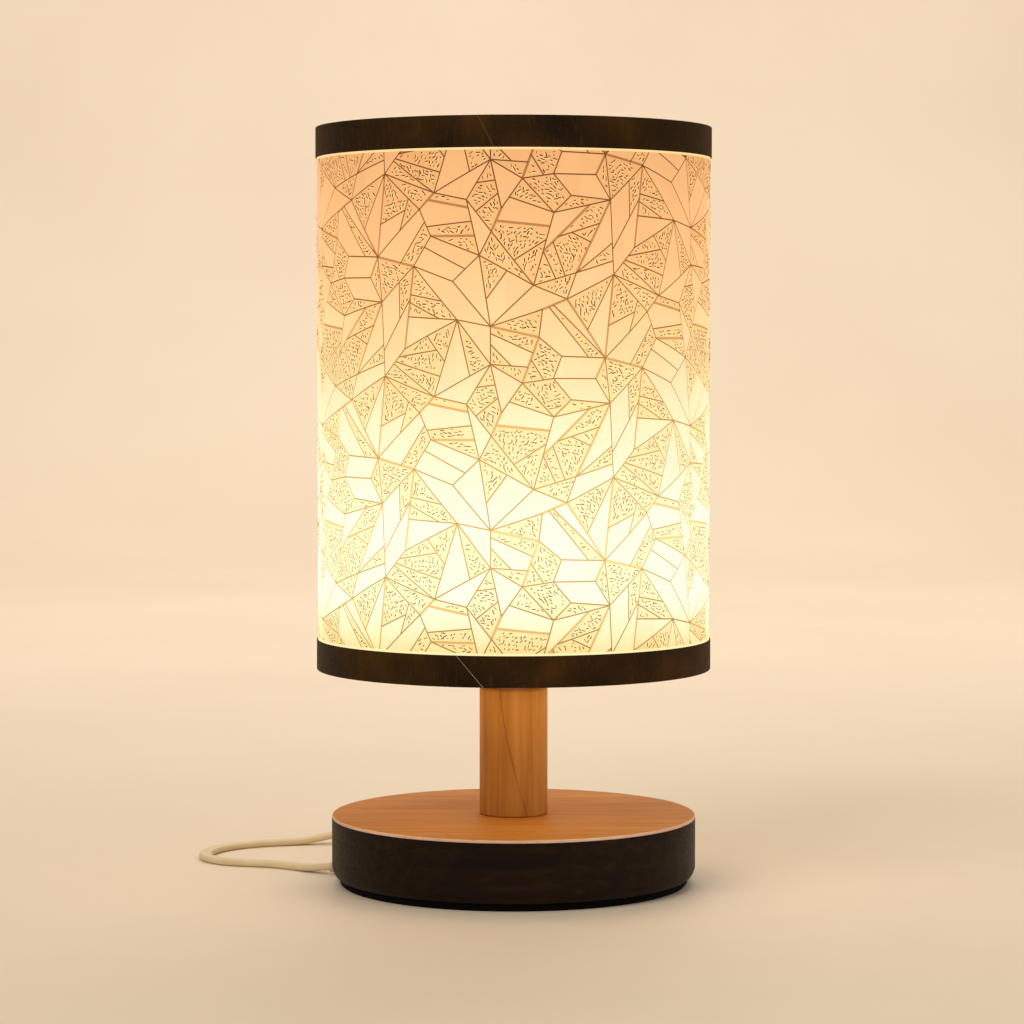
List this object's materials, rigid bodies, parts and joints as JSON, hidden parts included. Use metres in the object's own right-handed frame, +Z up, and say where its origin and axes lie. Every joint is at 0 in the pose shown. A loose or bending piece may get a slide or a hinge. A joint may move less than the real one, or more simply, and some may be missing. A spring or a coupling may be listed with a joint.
{
  "type": "table lamp",
  "caption": "Small table lamp: upright drum shade of translucent embossed mosaic sheet with dark bands, on a short round wooden post and a dark disc base, with cord, switch and plug.",
  "frame": {"origin": "middle of the foot pad's underside, on the table", "axes": "+Z up along the post; -Y is the front; the cord leaves low on the -X side"},
  "size_m": [0.201, 0.2336, 0.2876],
  "materials": {
    "light_wood": "satin lacquered light wood",
    "dark_wood": "satin near-black stain",
    "foot": "matt black foam rubber",
    "mosaic_sheet": "translucent cream sheet, embossed with a mosaic of shards",
    "dark_band": "dark brown trim tape",
    "lining_tape": "cream lining tape",
    "steel_wire": "bright zinc",
    "brass": "bright brass",
    "holder_plastic": "white moulded thermoset",
    "holder_ceramic": "white glazed ceramic",
    "bulb_frost": "frosted, lit warm white",
    "bulb_plastic": "white",
    "bulb_black": "black vitrite",
    "circuit_board": "green board",
    "cord_cream": "cream flexible insulation",
    "switch_cream": "cream moulded plastic",
    "tie_black": "black hook-and-loop strap"
  },
  "bodies": {
    "stand": {"foot_pad": "foot", "base_body": "dark_wood", "base_top_disc": "light_wood", "post": "light_wood", "threaded_tube": "steel_wire", "base_washer": "steel_wire", "base_lock_nut": "steel_wire", "post_washer": "steel_wire", "holder_cap": "holder_plastic", "holder_barrel": "holder_plastic", "holder_core": "holder_ceramic", "screw_shell": "brass", "centre_contact": "brass", "terminal_screw_live": "brass", "terminal_screw_neutral": "brass", "lead_live": "cord_cream", "lead_neutral": "cord_cream", "inner_cord": "cord_cream", "strain_relief": "switch_cream", "cord_run": "cord_cream", "cord_link": "cord_cream", "cord_tail": "cord_cream", "cord_coil": "cord_cream", "coil_tie": "tie_black", "switch_lower_shell": "switch_cream", "switch_upper_shell": "switch_cream", "switch_terminal_1": "brass", "switch_terminal_2": "brass", "switch_contact_strip": "brass", "switch_screw_1": "steel_wire", "switch_screw_2": "steel_wire", "plug_body": "switch_cream", "plug_boot": "switch_cream", "plug_blade_1": "brass", "plug_blade_2": "brass"},
    "bulb": {"bulb_contact": "brass", "bulb_insulator": "bulb_black", "bulb_screw_cap": "steel_wire", "bulb_collar": "bulb_plastic", "bulb_globe": "bulb_frost", "led_board": "steel_wire", "driver_board": "circuit_board"},
    "shade": {"shade_sheet": "mosaic_sheet", "bottom_band": "dark_band", "top_band": "dark_band", "bottom_ring": "steel_wire", "top_ring": "steel_wire", "seam_tape": "lining_tape", "fitter_hub": "steel_wire", "fitter_arm_1": "steel_wire", "fitter_arm_2": "steel_wire", "fitter_arm_3": "steel_wire"},
    "shade_ring": {"shade_ring_nut": "holder_plastic"},
    "rocker": {"switch_rocker": "switch_cream"}
  },
  "joints": [
    {"name": "bulb_lift", "type": "slide", "parent": "stand", "child": "bulb", "axis": [0, 0, 1], "range_m": [0, 0.2]},
    {"name": "shade_lift", "type": "slide", "parent": "stand", "child": "shade", "axis": [0, 0, 1], "range_m": [0, 0.11]},
    {"name": "ring_lift", "type": "slide", "parent": "shade", "child": "shade_ring", "axis": [0, 0, 1], "range_m": [0, 0.2]},
    {"name": "rocker_tilt", "type": "hinge", "parent": "stand", "child": "rocker", "pos_m": [-0.037, 0.095, 0.0099], "axis": [0, 1, 0], "range_deg": [-16, 0]}
  ]
}
